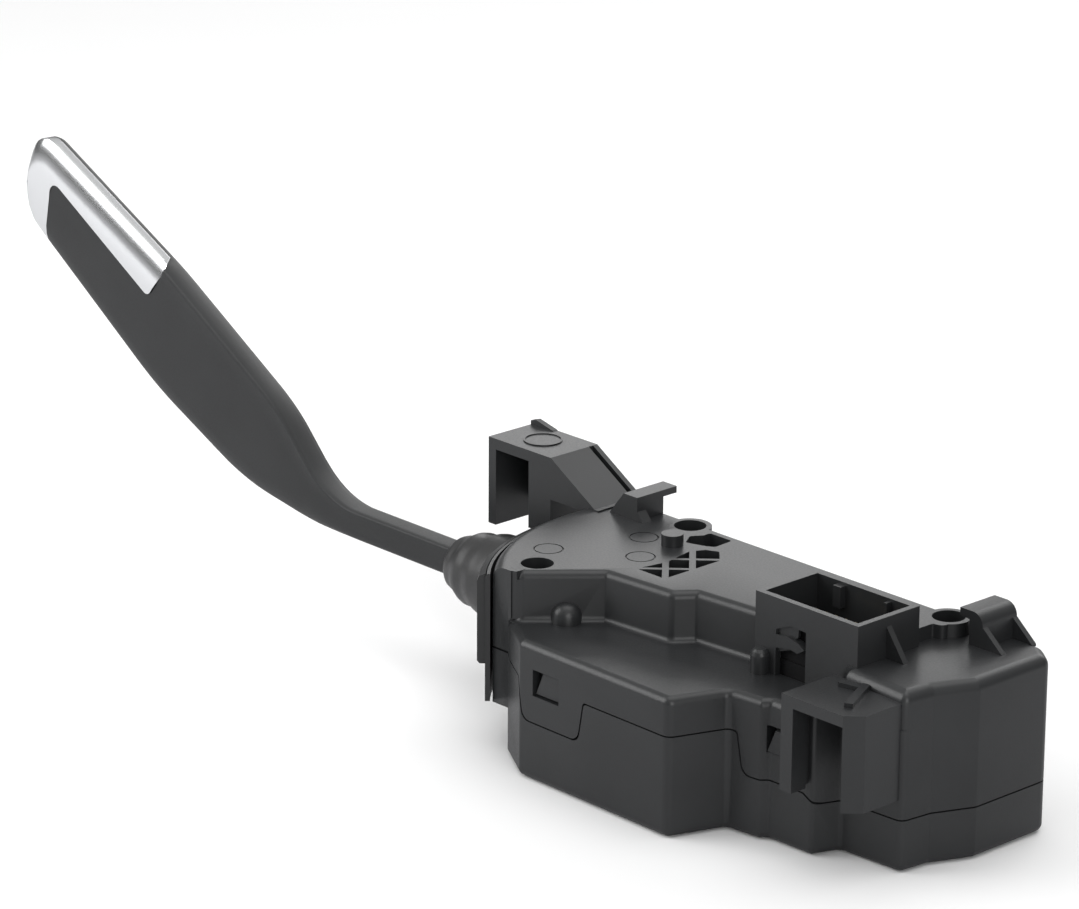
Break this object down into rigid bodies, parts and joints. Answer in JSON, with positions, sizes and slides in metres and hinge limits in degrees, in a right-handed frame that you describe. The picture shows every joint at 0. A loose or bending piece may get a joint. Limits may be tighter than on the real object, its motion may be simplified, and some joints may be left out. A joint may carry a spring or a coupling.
{
  "type": "gear selector lever",
  "caption": "Electronic gear selector lever for a steering column: bent grip with park button and bright trim, swinging on a pin in a snap-fit housing with an upright plug socket.",
  "frame": {"origin": "centre of the front screw hole, on the top face of the mounting plate", "axes": "+Z leaves the plate along the screw holes and the plug socket's mouth; -X is the way the lever points from the housing; Y follows by the right hand"},
  "size_m": [0.2735, 0.0582, 0.0864],
  "materials": {
    "housing_plastic": "fine moulded grain, satin",
    "tray_plastic": "fine moulded grain, satin",
    "lever_plastic": "soft-touch, satin",
    "bright_trim": "satin chrome plating",
    "button_plastic": "satin",
    "shutter_plastic": "smooth satin",
    "boot_rubber": "smooth, slightly shiny",
    "carrier_plastic": "smooth",
    "header_plastic": "smooth",
    "board_laminate": "solder mask",
    "chip_plastic": "matt",
    "bearing_plastic": "smooth",
    "contact_metal": "plated",
    "steel": "ground",
    "spring_steel": "drawn wire",
    "magnet_metal": "sintered",
    "switch_plastic": "smooth"
  },
  "bodies": {
    "housing": {"upper_housing": "housing_plastic", "lower_housing": "tray_plastic", "clip_bracket": "housing_plastic", "latch_box": "housing_plastic", "plug_socket": "housing_plastic", "circuit_board": "board_laminate", "board_screws": "steel", "position_sensor": "chip_plastic", "controller_chip": "chip_plastic", "plug_header": "header_plastic", "plug_contacts": "contact_metal", "detent_block": "bearing_plastic", "pivot_pin": "steel", "pivot_clip": "spring_steel", "centring_spring": "spring_steel"},
    "lever": {"carrier": "carrier_plastic", "upper_bush": "bearing_plastic", "lower_bush": "bearing_plastic", "position_magnet": "magnet_metal", "lever_core": "steel", "lever_grip": "lever_plastic", "chrome_trim": "bright_trim", "shutter_plate": "shutter_plastic", "rubber_boot": "boot_rubber", "button_switch": "switch_plastic", "switch_lead": "header_plastic", "button_spring": "spring_steel", "plunger_spring": "spring_steel"},
    "park_button": {"park_button": "button_plastic"},
    "detent_plunger": {"detent_plunger": "steel"}
  },
  "joints": [
    {"name": "lever_swing", "type": "hinge", "parent": "housing", "child": "lever", "pos_m": [0.0265, 0.0254, -0.0149], "axis": [0, 0, 1], "range_deg": [-6, 6], "stiffness_Nm_per_rad": 4},
    {"name": "park_press", "type": "slide", "parent": "lever", "child": "park_button", "axis": [0.8771, 0, -0.4802], "range_m": [0, 0.0015], "stiffness_N_per_m": 1200, "springref_m": -0.001},
    {"name": "detent_lift", "type": "slide", "parent": "lever", "child": "detent_plunger", "axis": [0, 0, 1], "range_m": [0, 0.001], "stiffness_N_per_m": 3000, "springref_m": -0.001, "deforming": ["plunger_spring"]}
  ]
}
